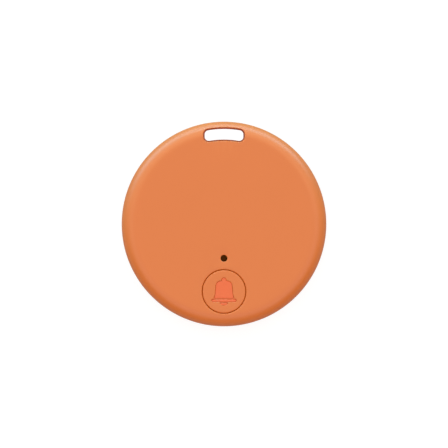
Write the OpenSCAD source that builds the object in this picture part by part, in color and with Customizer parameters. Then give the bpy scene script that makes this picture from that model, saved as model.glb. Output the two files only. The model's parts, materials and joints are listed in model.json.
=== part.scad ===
// Round wireless tracker tag.
// A two-piece plastic case with a lanyard slot, a press button with a bell symbol, a piezo
// buzzer behind a sound hole, a circuit board, and a coin cell behind a door that turns.
// The tag lies on its back: the origin is the centre of its rear face, +Z points out of the
// front face, and +Y points to the lanyard slot. All sizes are in millimetres.

/* [Case] */
// Diameter of the case
body_d = 37; // [36.5:0.5:46]
// Thickness of the case
body_h = 8; // [8:0.1:10]
// Thickness of the case walls
wall = 1.2; // [0.9:0.05:1.2]
// Radius of the rounded edge round the front face
front_edge_r = 2.4; // [1.6:0.1:2.8]
// Radius of the rounded edge round the rear face
rear_edge_r = 2; // [1.4:0.1:2.2]

/* [Lanyard slot] */
// Width of the slot
slot_w = 7; // [5:0.1:9]
// Height of the slot, measured along the radius
slot_h = 1.92; // [1.4:0.02:2.3]
// Rim left between the slot and the edge of the case
slot_rim = 1.31; // [1:0.01:1.6]
// Radius of the slot's rounded corners
slot_corner = 0.75; // [0.4:0.05:0.8]

/* [Button and sound hole] */
// Diameter of the button cap
button_d = 7.7; // [7.2:0.05:7.8]
// Distance from the edge of the case to the middle of the button
button_inset = 6.3; // [6.2:0.05:6.5]
// Gap round the button cap
button_gap = 0.14; // [0.12:0.02:0.22]
// How far the button travels
button_travel = 0.25; // [0.15:0.05:0.25]
// Height of the bell symbol on the button
symbol_h = 5.1; // [4:0.1:5.4]
// Diameter of the sound hole
sound_d = 1.2; // [0.8:0.1:1.4]
// Distance from the middle of the case to the sound hole
sound_y = 6.2; // [5:0.1:6.2]

/* [Coin cell and door] */
// Diameter of the coin cell
cell_d = 20; // [16:0.5:20]
// Thickness of the coin cell
cell_h = 3.2; // [2.5:0.1:3.2]
// Angle that the battery door turns through
door_turn = 30; // [26:1:34]
// Length of the coin groove across the battery door
coin_l = 15; // [10:0.5:17]

/* [Board and buzzer] */
// Thickness of the circuit board
board_t = 0.8; // [0.6:0.1:0.8]
// Diameter of the piezo buzzer's plate
buzzer_d = 15; // [14.6:0.1:15.2]

/* [Hidden] */
$fn = 96;

case_color = "#E48451";
symbol_color = "#F07C48";
door_color = "#D8763F";
black_plastic = "#22252A";
board_color = "#1F5B3A";
steel_color = "#C4C8CC";
brass_color = "#C9A24A";

// Depth to which one shape bites into another where the two become one piece
bite = 0.1;

// Heights, from the rear face up
body_r = body_d / 2;
ceiling_z = body_h - wall;
seam_z = 0.45 * body_h;
reveal_h = 0.15;
reveal_d = 0.3;
door_recess = 0.1;
lug_z = wall + 0.1;
lug_t = 0.5;
door_rim_z = lug_z + lug_t + 0.06;
cell_z = wall + 0.1;
cell_top = cell_z + cell_h;
spring_room = 0.4;
board_z = cell_top + spring_room;
board_top = board_z + board_t;

// The covers' tongue, which snaps into the front cover
wall_r = body_r - wall;
tongue_r = wall_r - 0.1;
tongue_t = 0.8;
tongue_h = 1.4;
tongue_gap = 1;
snap_z = seam_z + 0.85;
snap_h = 0.5;
snap_reach = 0.22;
snap_span = 16;
snap_angles = [0, 60, 120, 180, 240, 300];

// Lanyard slot: two arcs about the middle of the case, with a wall of its own inside
slot_r_out = body_r - slot_rim;
slot_r_in = slot_r_out - slot_h;
sleeve_t = 0.9;

// Button and the switch under it
button_y = button_inset - body_r;
cap_r = button_d / 2;
cap_edge = 0.12;
cap_under = board_top + 1.3;
wing_t = 0.4;
wing_z = ceiling_z - 0.05 - wing_t;
wing_r = cap_r + 0.85;
wing_span = 80;
skirt_t = 0.8;
guide_t = 0.45;
guide_h = 0.8;
guide_span = 60;
symbol_depth = 0.25;
symbol_sunk = 0.05;
switch_l = 3.6;
switch_w = 3.2;
switch_wall_h = 0.75;
switch_floor = 0.18;
switch_bowl_r = 1.4;
cover_t = 0.1;
dome_r = 1.3;
dome_t = 0.08;
dome_h = button_travel + dome_t + 0.01;

// Bayonet of the battery door
cell_r = cell_d / 2;
door_r = cell_r + 1;
door_wall = 0.7;
opening_r = door_r + 0.2;
lug_r = door_r + 1.1;
lug_span = 24;
lug_angles = [30, 150, 270];
notch_r = lug_r + 0.2;
notch_span = lug_span + 2;
flange_r = notch_r + 0.4;
flange_t = 0.4;
flange_gap = 0.2;
ledge_z = door_recess + flange_t + 0.05;
bay_wall_t = 0.6;
bay_wall_h = 1;
stop_span = 3;
coin_w = 1.8;
coin_depth = 0.6;

// Frame that centres the cell under the board
frame_r_in = cell_r + 0.2;
frame_r_out = cell_r + 1.3;
frame_z = lug_z + lug_t + 0.2;
window_w = 4.2;
window_z = frame_z + 0.7;
peg_r = 0.5;
peg_angles = [60, 120, 240, 300];
peg_ring = (frame_r_in + frame_r_out) / 2;

// Board and its screws
board_r = body_r - 2.5;
notch_y = slot_r_in - sleeve_t - 0.4;
notch_half = slot_w / 2 + sleeve_t + 1;
screw_ring = body_r - 5.1;
screw_angles = [35, 145, 215, 325];
boss_r = 1.3;
pilot_r = 0.55;
pilot_depth = 0.5;
shank_r = 0.52;
head_r = 1.2;
head_h = 0.55;

// Buzzer disc, hung under the front wall on a ring of glue
seat_h = 0.4;
seat_land = 0.5;
glue_t = 0.1;
plate_t = 0.15;
ceramic_t = 0.15;
buzzer_r = buzzer_d / 2;
ceramic_r = 0.74 * buzzer_r;
plate_z = ceiling_z - seat_h - glue_t - plate_t;
ceramic_z = plate_z - ceramic_t;
seat_lip = 0.5;

// Small parts on the board: [x, y, turn]
capacitor_places = [[-8.95, 4.4, 90], [-8.95, 6, 90], [-8.9, -4.2, 90], [-13.6, -3.6, 0],
    [-9.1, -6, 90], [3.2, 11.4, 90], [-3.2, 11.4, 90], [13.6, 3.6, 90], [9.6, 5.6, 0]];
resistor_places = [[9.2, -4.2, 90], [9.4, -6, 90], [12.6, -3.6, 0], [4.9, 11.4, 90],
    [-4.9, 11.4, 90], [12.6, -4.8, 0]];

// Points of an arc about a centre. The last point is left out when closed is false.
function arc(centre, r, from, to, steps, closed = true) =
    [for (i = [0 : steps - (closed ? 0 : 1)])
        let (a = from + (to - from) * i / steps) centre + r * [cos(a), sin(a)]];

// Outline of the lanyard slot, or of the wall round it when grow is more than 0
function slot_outline(grow) =
    let (c = slot_corner + grow,
        half = slot_w / 2 + grow - c,
        r_far = slot_r_out + grow - c,
        r_near = slot_r_in - grow + c,
        far = acos(half / r_far),
        near = acos(half / r_near),
        far_right = r_far * [cos(far), sin(far)],
        near_right = r_near * [cos(near), sin(near)],
        far_left = [-far_right.x, far_right.y],
        near_left = [-near_right.x, near_right.y])
    concat(
        arc([0, 0], slot_r_out + grow, far, 180 - far, 16, false),
        arc(far_left, c, 180 - far, 180, 6),
        arc(near_left, c, 180, 360 - near, 6, false),
        arc([0, 0], slot_r_in - grow, 180 - near, near, 16, false),
        arc(near_right, c, 180 + near, 360, 6),
        arc(far_right, c, 0, far, 6, false));

// Outline of a bar with round ends
function round_bar(length, width) =
    concat(
        arc([(length - width) / 2, 0], width / 2, -90, 90, 12),
        arc([(width - length) / 2, 0], width / 2, 90, 270, 12));

// Section of a shallow cup: a straight side and a rounded upper edge
module cup_section(r, z_from, z_to, edge) {
    translate([0, z_from]) square([r, z_to - edge - z_from]);
    translate([0, z_to - edge]) square([r - edge, edge]);
    translate([r - edge, z_to - edge]) intersection() {
        circle(edge);
        square(edge);
    }
}

// Part of a flat ring, span degrees long about the angle middle
module ring_part(r_out, r_in, z, h, middle, span) {
    rotate([0, 0, middle - span / 2]) rotate_extrude(angle = span)
        translate([r_in, z]) square([r_out - r_in, h]);
}

// A whole flat ring
module ring(r_out, r_in, z, h) {
    translate([0, 0, z]) difference() {
        cylinder(r = r_out, h = h);
        translate([0, 0, -1]) cylinder(r = r_in, h = h + 2);
    }
}

// A block that stands at height z, centred on a place and turned about it
module block(place, turn, size, z) {
    translate([place.x, place.y, z]) rotate([0, 0, turn])
        translate([-size.x / 2, -size.y / 2, 0]) cube(size);
}

// A copy of the children at each angle, at a distance from the middle
module around(angles, distance) {
    for (a = angles) rotate([0, 0, a]) translate([distance, 0, 0]) children();
}

// A bent strip: its side view, carried sideways through its width
module strip(width, points) {
    rotate([90, 0, 0]) translate([0, 0, -width / 2]) linear_extrude(width) polygon(points);
}

module front_block() {
    rotate_extrude() cup_section(body_r, seam_z, body_h, front_edge_r);
}

module rear_block() {
    rotate_extrude() translate([0, seam_z]) mirror([0, 1])
        cup_section(body_r, 0, seam_z, rear_edge_r);
}

// The column that the slot cuts, or with grow the wall that closes the case round it
module slot_column(z_from, z_to, grow) {
    translate([0, 0, z_from]) linear_extrude(z_to - z_from) polygon(slot_outline(grow));
}

// Section of the bead that snaps the covers together, or with slack of its pocket
module snap_section(slack) {
    r = tongue_r - bite;
    reach = bite + snap_reach + slack;
    half = snap_h / 2 + slack;
    translate([r, snap_z]) polygon([[0, -half], [reach, -half / 3], [reach, half / 3], [0, half]]);
}

module snaps(slack, span) {
    for (a = snap_angles) rotate([0, 0, a - span / 2])
        rotate_extrude(angle = span) snap_section(slack);
}

module screw_bosses() {
    around(screw_angles, screw_ring)
        translate([0, 0, board_top]) cylinder(r = boss_r, h = ceiling_z - board_top + bite);
}

// Ring that the buzzer is glued to, with a lip round its edge
module buzzer_seat() {
    lip_r = buzzer_r + 0.1;
    ring(lip_r + seat_lip, buzzer_r - seat_land, ceiling_z - seat_h, seat_h + bite);
    ring(lip_r + seat_lip, lip_r, plate_z - 0.05, ceiling_z - plate_z + 0.05 + bite);
}

// Short walls above and below the button, which keep the cap straight
module button_guides() {
    for (a = [90, 270]) translate([0, button_y, 0])
        ring_part(cap_r + button_gap + guide_t, cap_r + button_gap,
            ceiling_z - guide_h, guide_h + bite, a, guide_span);
}

// Front half of the case: the face, the rounded rim and the upper side wall
module front_cover() {
    color(case_color) difference() {
        union() {
            difference() {
                front_block();
                rotate_extrude()
                    cup_section(wall_r, seam_z - 1, ceiling_z, front_edge_r - wall);
            }
            intersection() {
                front_block();
                slot_column(seam_z, body_h, sleeve_t);
            }
            screw_bosses();
            buzzer_seat();
            button_guides();
        }
        slot_column(seam_z - 1, body_h + 1, 0);
        translate([0, button_y, ceiling_z - 0.2]) cylinder(r = cap_r + button_gap, h = wall + 1);
        translate([0, -sound_y, ceiling_z - 0.2]) cylinder(d = sound_d, h = wall + 1);
        around(screw_angles, screw_ring) translate([0, 0, board_top - 1])
            cylinder(r = pilot_r, h = ceiling_z - board_top + pilot_depth + 1);
        snaps(0.06, snap_span + 3);
    }
}

// Tongue of the rear cover, with a gap where the slot's wall comes down
module tongue() {
    gap_half = slot_w / 2 + sleeve_t + tongue_gap;
    ring(wall_r + bite, tongue_r - tongue_t, seam_z - 1, 1);
    difference() {
        ring(tongue_r, tongue_r - tongue_t, seam_z - 0.2, tongue_h + 0.2);
        translate([-gap_half, 0, seam_z]) cube([2 * gap_half, body_r, tongue_h + 1]);
    }
}

// Low wall round the battery opening, and the stops at each end of the door's turn
module door_stops() {
    closed_stop = (lug_span + stop_span) / 2 + 1;
    ring(notch_r + 0.1 + bay_wall_t, notch_r + 0.1, wall - bite, bay_wall_h + bite);
    for (a = lug_angles, end = [closed_stop, -door_turn - closed_stop])
        ring_part(notch_r + 0.2, opening_r + 0.1, wall - bite, lug_z + lug_t - wall + bite,
            a + end, stop_span);
}

// Rear half of the case: the back, its rounded rim, and the stepped opening for the door
module rear_cover() {
    color(case_color) difference() {
        union() {
            difference() {
                rear_block();
                rotate_extrude() translate([0, seam_z]) mirror([0, 1])
                    cup_section(wall_r, -1, seam_z - wall, rear_edge_r - wall);
            }
            intersection() {
                rear_block();
                slot_column(0, seam_z, sleeve_t);
            }
            tongue();
            snaps(0, snap_span);
            door_stops();
        }
        slot_column(-1, seam_z + 1, 0);
        translate([0, 0, -1]) cylinder(r = opening_r, h = wall + 2);
        translate([0, 0, -1]) cylinder(r = flange_r + flange_gap, h = ledge_z + 1);
        for (a = lug_angles)
            ring_part(notch_r, opening_r - 0.5, -1, wall + 1.05, a - door_turn, notch_span);
        ring(body_r + 1, body_r - reveal_d, seam_z - reveal_h, 1);
    }
}

// Round door over the coin cell: a flange outside that covers the notches, a rim round the
// cell, three lugs that lock behind the ledge, and a groove for a coin
module battery_door() {
    bevel = 0.15;
    color(door_color) difference() {
        union() {
            rotate_extrude() polygon([[0, door_recess], [flange_r - bevel, door_recess],
                [flange_r, door_recess + bevel], [flange_r, door_recess + flange_t],
                [door_r, door_recess + flange_t], [door_r, door_rim_z],
                [door_r - door_wall, door_rim_z], [door_r - door_wall, wall], [0, wall]]);
            for (a = lug_angles)
                ring_part(lug_r, door_r - bite, lug_z, lug_t, a, lug_span);
        }
        translate([0, 0, door_recess - 1]) linear_extrude(coin_depth + 1)
            polygon(round_bar(coin_l, coin_w));
    }
}

// Bell: a half-round crown on a flared skirt, a brim, a knob on top and a clapper below
module bell_symbol() {
    crown_r = 0.28 * symbol_h;
    crown_y = 0.1 * symbol_h;
    brim_y = -0.28 * symbol_h;
    brim_half = 0.44 * symbol_h;
    brim_t = 0.09 * symbol_h;
    clapper_r = 0.13 * symbol_h;
    clapper_y = brim_y - brim_t + 0.01 * symbol_h;
    knob_r = 0.085 * symbol_h;
    translate([0, crown_y]) intersection() {
        circle(crown_r);
        translate([-crown_r, 0]) square([2 * crown_r, crown_r]);
    }
    polygon([[-crown_r, crown_y], [-0.34 * symbol_h, 0.45 * brim_y], [-0.4 * symbol_h, brim_y],
        [0.4 * symbol_h, brim_y], [0.34 * symbol_h, 0.45 * brim_y], [crown_r, crown_y]]);
    translate([-brim_half, brim_y - brim_t]) square([2 * brim_half, brim_t + 0.02]);
    translate([0, crown_y + crown_r + 0.3 * knob_r]) circle(knob_r);
    translate([0, clapper_y]) intersection() {
        circle(clapper_r);
        translate([-clapper_r, -clapper_r]) square([2 * clapper_r, clapper_r]);
    }
}

// Cap of the button: a flat top, a skirt, and two wings that hold it behind the front wall
module button_cap() {
    color(case_color) translate([0, button_y, 0]) difference() {
        union() {
            rotate_extrude() polygon(concat(
                [[0, cap_under], [cap_r - skirt_t, cap_under], [cap_r - skirt_t, wing_z],
                    [cap_r, wing_z]],
                arc([cap_r - cap_edge, body_h - cap_edge], cap_edge, 0, 90, 4),
                [[0, body_h]]));
            for (a = [0, 180]) ring_part(wing_r, cap_r - bite, wing_z, wing_t, a, wing_span);
        }
        translate([0, 0, body_h - symbol_depth]) linear_extrude(1) bell_symbol();
    }
}

// Bell inlay, which fills its pocket in the cap to just below the surface
module button_symbol() {
    color(symbol_color) translate([0, button_y, body_h - symbol_depth])
        linear_extrude(symbol_depth - symbol_sunk) bell_symbol();
}

// Base of the switch, with a round bowl for the dome
module switch_housing() {
    color(black_plastic) difference() {
        block([0, button_y], 0, [switch_l, switch_w, switch_wall_h], board_top);
        translate([0, button_y, board_top + switch_floor])
            cylinder(r = switch_bowl_r, h = switch_wall_h);
    }
}

// Steel lid of the switch, clipped down over both ends of the base
module switch_cover() {
    clip_w = 1.2;
    clip_h = 0.55;
    lid_z = board_top + switch_wall_h;
    color(steel_color) difference() {
        union() {
            block([0, button_y], 0, [switch_l + 2 * cover_t, switch_w, cover_t], lid_z);
            for (side = [-1, 1])
                block([side * (switch_l + cover_t) / 2, button_y], 0,
                    [cover_t, clip_w, clip_h + 0.05], lid_z - clip_h);
        }
        translate([0, button_y, lid_z - 1]) cylinder(r = 0.9, h = 2);
    }
}

// Snap dome: a thin spring-steel cap that gives the click
module switch_dome() {
    sphere_r = (dome_r * dome_r + dome_h * dome_h) / (2 * dome_h);
    color(steel_color) translate([0, button_y, board_top + switch_floor]) rotate_extrude()
        intersection() {
            translate([0, dome_h - sphere_r]) difference() {
                circle(sphere_r);
                circle(sphere_r - dome_t);
            }
            square([2 * dome_r, 2 * dome_h]);
        }
}

// Plunger: rests on the dome and reaches up to the inside of the cap
module switch_plunger() {
    foot_z = board_top + switch_floor + dome_h;
    foot_t = 0.16;
    color(black_plastic) translate([0, button_y, 0]) {
        translate([0, 0, foot_z]) cylinder(r = 1.05, h = foot_t);
        translate([0, 0, foot_z + foot_t / 2]) cylinder(r = 0.75, h = cap_under - foot_z - foot_t / 2);
    }
}

// Four soldered feet of the switch
module switch_terminals() {
    foot = [0.6, 0.5, 0.15];
    color(steel_color) for (side = [-1, 1], row = [-1, 1])
        block([side * (switch_l + foot.x) / 2, button_y + row * 1.15], 0, foot, board_top);
}

// Round board with a notch for the slot, and holes for its screws and the frame's pegs
module circuit_board() {
    color(board_color) difference() {
        translate([0, 0, board_z]) cylinder(r = board_r, h = board_t);
        translate([-notch_half, notch_y, board_z - 1]) cube([2 * notch_half, body_r, board_t + 2]);
        around(screw_angles, screw_ring)
            translate([0, 0, board_z - 1]) cylinder(r = 0.75, h = board_t + 2);
        around(peg_angles, peg_ring)
            translate([0, 0, board_z - 1]) cylinder(r = peg_r + 0.05, h = board_t + 2);
    }
}

// Four pan-head screws that hold the board to the front cover
module board_screws() {
    shank_h = ceiling_z + pilot_depth - 0.15 - board_z;
    recess = 0.28;
    color(steel_color) around(screw_angles, screw_ring) difference() {
        union() {
            translate([0, 0, board_z - head_h]) cylinder(r = head_r, h = head_h);
            translate([0, 0, board_z - bite]) cylinder(r = shank_r, h = shank_h + bite);
        }
        for (turn = [0, 90])
            block([0, 0], turn, [1.5, 0.32, 1 + recess], board_z - head_h - 1);
    }
}

// Radio chip in a flat square package, with its corner dot
module radio_chip() {
    color(black_plastic) difference() {
        block([-11.9, 0.4], 0, [5, 5, 0.85], board_top);
        translate([-13.7, 2.2, board_top + 0.8]) cylinder(r = 0.25, h = 1, $fn = 24);
    }
}

module radio_crystal() {
    color(steel_color) block([-12, -5], 0, [2, 1.6, 0.5], board_top);
}

module clock_crystal() {
    color(steel_color) block([-12.7, 4.9], 0, [3.2, 1.5, 0.75], board_top);
}

module power_inductor() {
    color("#3A3A3C") block([11, 3.4], 0, [2.5, 2, 0.9], board_top);
}

module bulk_capacitor() {
    color("#B98D5A") block([11.9, -0.6], 0, [3.2, 2.5, 1], board_top);
}

module chip_capacitors() {
    color("#A98A66") for (p = capacitor_places) block(p, p.z, [1, 0.5, 0.5], board_top);
}

module chip_resistors() {
    color("#2B2B2D") for (p = resistor_places) block(p, p.z, [1, 0.5, 0.35], board_top);
}

module chip_antenna() {
    color("#E9E6DC") block([0, 11.4], 0, [3.2, 1.6, 0.9], board_top);
}

// Plastic frame that centres the cell, with a window for each positive contact
module battery_frame() {
    color(black_plastic) union() {
        difference() {
            ring(frame_r_out, frame_r_in, frame_z, board_z - frame_z);
            translate([-body_r, -window_w / 2, window_z]) cube([2 * body_r, window_w, cell_h]);
        }
        around(peg_angles, peg_ring)
            translate([0, 0, board_z - bite]) cylinder(r = peg_r, h = board_t - 0.2 + bite);
    }
}

// Two spring arms that touch the side of the cell's can
module positive_contacts() {
    t = 0.12;
    near = cell_r + 0.02;
    foot = near + 2.6;
    color(steel_color) for (turn = [0, 180]) rotate([0, 0, turn])
        strip(3, [[near, window_z + 0.4], [near + t, window_z + 0.4], [near + t, board_z - t],
            [foot, board_z - t], [foot, board_z], [near, board_z]]);
}

// Leaf spring with two arms that press on the cell's cap
module negative_contact() {
    t = 0.12;
    root = 2;
    bend = 5;
    tip = 6;
    color(steel_color) strip(2.4, [
        [-tip, cell_top], [-bend, cell_top], [-root, board_z - t], [root, board_z - t],
        [bend, cell_top], [tip, cell_top], [tip, cell_top + t], [bend, cell_top + t],
        [root, board_z], [-root, board_z], [-bend, cell_top + t], [-tip, cell_top + t]]);
}

// Positive can of the cell: a shallow steel cup with its lip rolled in
module cell_can() {
    r = cell_r;
    t = 0.25;
    lip_z = cell_top - 0.25;
    color(steel_color) rotate_extrude() polygon(concat(
        [[0, cell_z]],
        arc([r - 0.4, cell_z + 0.4], 0.4, -90, 0, 5),
        [[r, lip_z - 0.35], [r - 0.25, lip_z - 0.05], [r - 0.65, lip_z],
            [r - 0.65, lip_z - 0.18], [r - 0.38, lip_z - 0.22], [r - t, lip_z - 0.45],
            [r - t, cell_z + t], [0, cell_z + t]]));
}

// Negative cap of the cell: a stepped steel lid inside the gasket
module cell_cap() {
    r = cell_r - 1.3;
    t = 0.25;
    skirt_z = cell_top - 2.2;
    color(steel_color) rotate_extrude() polygon([
        [0, cell_top], [r, cell_top], [r + 0.2, cell_top - 0.2], [r + 0.2, cell_top - 0.4],
        [r + 0.45, cell_top - 0.55], [r + 0.45, skirt_z], [r + 0.25, skirt_z],
        [r + 0.25, cell_top - 0.65], [r, cell_top - 0.5], [r - 0.05, cell_top - t],
        [0, cell_top - t]]);
}

// Plastic gasket between the can and the cap
module cell_gasket() {
    r = cell_r;
    color(black_plastic) rotate_extrude() polygon([
        [r - 0.8, cell_top - 2.6], [r - 0.3, cell_top - 2.6], [r - 0.3, cell_top - 0.75],
        [r - 0.7, cell_top - 0.45], [r - 0.7, cell_top - 0.22], [r - 1.05, cell_top - 0.22],
        [r - 1.05, cell_top - 0.36], [r - 0.8, cell_top - 0.5]]);
}

module cell_disc(r, z, h) {
    translate([0, 0, z]) cylinder(r = r, h = h);
}

// Pressed powder pellet on the floor of the can
module cell_cathode() {
    color("#2A2A2A") cell_disc(cell_r - 1.2, cell_z + 0.25, cell_h - 1.5);
}

// Sheet that keeps the two electrodes apart
module cell_separator() {
    color("#F2F2EE") cell_disc(cell_r - 1.1, cell_top - 1.25, 0.1);
}

// Lithium disc under the cap
module cell_anode() {
    color("#B8BCC2") cell_disc(cell_r - 1.5, cell_top - 1.15, 0.9);
}

// Brass plate of the piezo buzzer
module buzzer_plate() {
    color(brass_color) cell_disc(buzzer_r, plate_z, plate_t);
}

// Piezo ceramic on the inner side of the plate
module buzzer_ceramic() {
    color("#D9D4C6") cell_disc(ceramic_r, ceramic_z, ceramic_t);
}

// Ring of adhesive between the plate and its seat
module buzzer_adhesive() {
    color("#E8E2C8") ring(buzzer_r, buzzer_r - seat_land, plate_z + plate_t, glue_t);
}

// Folded spring that stands on the board and touches the buzzer, h high
module leaf_contact(place, turn, h) {
    t = 0.08;
    color(steel_color) translate([place.x, place.y, board_top]) rotate([0, 0, turn])
        strip(1.2, [[0.1, 0], [2.2, 0], [2.2, t], [0.16, t], [0.16, 0.13], [1.5, h - t],
            [2.1, h - t], [2.1, h], [1.46, h], [0, 0.18], [0, 0.06]]);
}

module plate_contact() {
    angle = 20;
    foot_r = buzzer_r + 0.8;
    leaf_contact(foot_r * [cos(angle), sin(angle)], angle + 180, plate_z - board_top);
}

module ceramic_contact() {
    leaf_contact([2.6, -1.8], 170, ceramic_z - board_top);
}

front_cover();
rear_cover();
battery_door();
button_cap();
button_symbol();
switch_housing();
switch_cover();
switch_dome();
switch_plunger();
switch_terminals();
circuit_board();
board_screws();
radio_chip();
radio_crystal();
clock_crystal();
power_inductor();
bulk_capacitor();
chip_capacitors();
chip_resistors();
chip_antenna();
battery_frame();
positive_contacts();
negative_contact();
cell_can();
cell_cap();
cell_gasket();
cell_cathode();
cell_separator();
cell_anode();
buzzer_plate();
buzzer_ceramic();
buzzer_adhesive();
plate_contact();
ceramic_contact();
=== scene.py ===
# %% [markdown]
# # A round wireless tracker tag
#
# The real tag is a coin-shaped plastic case, 37 mm across and 8 mm thick. You clip it to keys by
# the slot near its rim, press the round button to ring a phone, and turn a door on the back to
# change the cell. This lesson loads the measured design as a fixed frame, then builds finer
# surfaces for the parts that people see and touch, dresses every part in a real finish, and
# lights the tag the way a studio would.
#
# Lengths in this lesson are millimetres until the moment a mesh is made, because that is how a
# moulder's drawing reads. Blender and the frame use metres.

# %% Load the frame and keep its box
import json

import bmesh
import bpy
import numpy as np
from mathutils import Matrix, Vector
from mathutils.geometry import delaunay_2d_cdt


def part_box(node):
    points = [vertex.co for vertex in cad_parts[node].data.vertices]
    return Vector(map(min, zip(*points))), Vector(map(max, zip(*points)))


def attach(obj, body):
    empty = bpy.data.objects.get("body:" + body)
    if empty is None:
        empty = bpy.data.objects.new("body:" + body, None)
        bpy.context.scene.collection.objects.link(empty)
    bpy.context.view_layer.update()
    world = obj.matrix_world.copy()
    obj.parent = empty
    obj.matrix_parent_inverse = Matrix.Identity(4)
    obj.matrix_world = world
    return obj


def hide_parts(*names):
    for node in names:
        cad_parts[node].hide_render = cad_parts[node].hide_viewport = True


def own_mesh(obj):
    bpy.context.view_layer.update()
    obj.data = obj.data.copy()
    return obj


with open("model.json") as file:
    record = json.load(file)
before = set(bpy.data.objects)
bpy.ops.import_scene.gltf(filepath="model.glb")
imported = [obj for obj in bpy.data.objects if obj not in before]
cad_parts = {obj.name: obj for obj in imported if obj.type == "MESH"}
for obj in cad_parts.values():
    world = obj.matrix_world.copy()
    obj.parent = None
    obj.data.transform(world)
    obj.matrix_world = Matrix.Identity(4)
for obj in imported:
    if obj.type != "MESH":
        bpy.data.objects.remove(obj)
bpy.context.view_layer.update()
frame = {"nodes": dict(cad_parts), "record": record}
nodes = frame["nodes"]
MM = 0.001

# %% [markdown]
# ## Sizes
#
# Most sizes can be read off the frame: a part's box says how wide and how high it is. The few
# that a box can't tell, such as the radius of an edge, are the design's own numbers.


# %% Read the sizes off the frame
def extent(name):
    """Lowest and highest corner of one part, in millimetres."""
    low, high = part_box(name)
    return np.array(low) / MM, np.array(high) / MM


front_low, front_high = extent("front_cover")
body_r = front_high[0]
top_z, seam_z = front_high[2], front_low[2]
cap_low, cap_high = extent("button_cap")
button_y = (cap_low[1] + cap_high[1]) / 2
cap_r = (cap_high[1] - cap_low[1]) / 2
wing_r, wing_z = cap_high[0], cap_low[2]
door_low, door_high = extent("battery_door")
door_z, door_rim_z = door_low[2], door_high[2]
board_low, board_high = extent("circuit_board")
board_z, board_top = board_low[2], board_high[2]
plate_low, plate_high = extent("buzzer_plate")
cell_r = extent("cell_can")[1][0]
symbol_low, symbol_high = extent("button_symbol")
plunger_top = extent("switch_plunger")[1][2]
print("case", 2 * body_r, "mm across,", top_z, "mm thick; button", 2 * cap_r, "mm at y", button_y)

# %% Sizes that a box can't tell
# The case wall, and the radii of the two outer edges
wall = 1.2
wall_r, ceiling_z = body_r - wall, top_z - wall
front_edge, rear_edge = 2.4, 2.0
# The lanyard slot: half its width, its corners, the wall round it, its far and near sides
slot_half, slot_corner, sleeve = 3.5, 0.75, 0.9
slot_far = body_r - 1.31
slot_near = slot_far - 1.92
# The gap round the button, and the sound hole
button_gap, sound_r, sound_y = 0.14, 0.6, -6.2
# The shadow line at the parting plane, and the soft edges on both sides of it
reveal_high, reveal_deep, seam_soft = 0.15, 0.3, 0.1
# The battery door: its rim round the cell, its lugs, the notches they pass and its flange
door_gap = 0.2
door_r, lug_r = cell_r + 1.0, cell_r + 2.1
notch_r = lug_r + door_gap
flange_r = notch_r + 0.4
lug_turns = np.radians([30, 150, 270])
door_swing = np.radians(frame["record"]["behaviour"]["joints"][1]["range_deg"][1])
# The four board screws
screw_ring, screw_turns = body_r - 5.1, np.radians([35, 145, 215, 325])
print("slot between radii", slot_near, "and", slot_far, "mm, door flange radius", flange_r, "mm")

# %% [markdown]
# ## Outlines
#
# Every opening in the case is an outline that can grow. The edge of a moulded opening isn't
# sharp: it rolls over with a small radius. If the outline is a function of how far it has grown,
# the rolled edge is the same outline drawn several times, a little smaller each time and a
# little lower. Each function returns the same number of points whatever the growth, so the
# copies join into a neat grid.


# %% Arcs and circles
def arc(centre, radius, start, end, steps):
    """Points centre + radius * (cos t, sin t), with t going evenly from start to end."""
    t = np.linspace(start, end, steps + 1)[:, None]
    return np.asarray(centre) + radius * np.hstack([np.cos(t), np.sin(t)])


def circle(radius, centre=(0, 0), count=240):
    """An outline: a circle whose radius grows with the outline."""
    return lambda grow=0.0: arc(centre, radius + grow, 0, 2 * np.pi, count)[:-1]


# %% [markdown]
# ### The slot and the hollow
#
# The slot follows the rim: its long sides are arcs about the middle of the case, so the rim left
# outside it is equally wide everywhere. The hollow of the case steps round the slot and leaves a
# wall there, which keeps dust out. When the hollow grows, that wall gets thinner.


# %% The lanyard slot and the walls near it
def slot(grow=0.0):
    """Two arcs about the middle of the case, joined by straight ends with rounded corners.
    Each corner's centre sits one corner radius inside both the arc and the end."""
    corner = slot_corner + grow
    half, far, near = slot_half + grow - corner, slot_far + grow - corner, slot_near - grow + corner
    turn_far, turn_near = np.arccos(half / far), np.arccos(half / near)
    far_mid = far * np.array([np.cos(turn_far), np.sin(turn_far)])
    near_mid = near * np.array([np.cos(turn_near), np.sin(turn_near)])
    flip = np.array([-1, 1])
    return np.vstack([
        arc((0, 0), slot_far + grow, turn_far, np.pi - turn_far, 30)[:-1],
        arc(far_mid * flip, corner, np.pi - turn_far, np.pi, 8),
        arc(near_mid * flip, corner, np.pi, 2 * np.pi - turn_near, 8)[:-1],
        arc((0, 0), slot_near - grow, np.pi - turn_near, turn_near, 30)[:-1],
        arc(near_mid, corner, np.pi + turn_near, 2 * np.pi, 8),
        arc(far_mid, corner, 0, turn_far, 8)[:-1],
    ])


def cavity(grow=0.0):
    """The hollow of the case: a circle, with a bay where the wall round the slot stands in it."""
    radius, swell = wall_r + grow, sleeve - grow
    corner, half = slot_corner + swell, slot_half + swell
    near = slot_near - swell + corner
    turn, turn_near = np.arccos(half / radius), np.arccos((half - corner) / near)
    near_mid = near * np.array([np.cos(turn_near), np.sin(turn_near)])
    return np.vstack([
        arc((0, 0), radius, np.pi - turn, 2 * np.pi + turn, 200),
        arc(near_mid, corner, 2 * np.pi, np.pi + turn_near, 8),
        arc((0, 0), slot_near - swell, turn_near, np.pi - turn_near, 30)[1:-1],
        arc(near_mid * [-1, 1], corner, 2 * np.pi - turn_near, np.pi, 8),
    ])


# %% [markdown]
# ### The battery opening and the coin groove
#
# The door locks like a jar lid. Its three lugs pass three notches, and a twelfth of a turn takes
# them under the ledge between the notches. A groove with round ends fits the edge of a coin.


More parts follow.
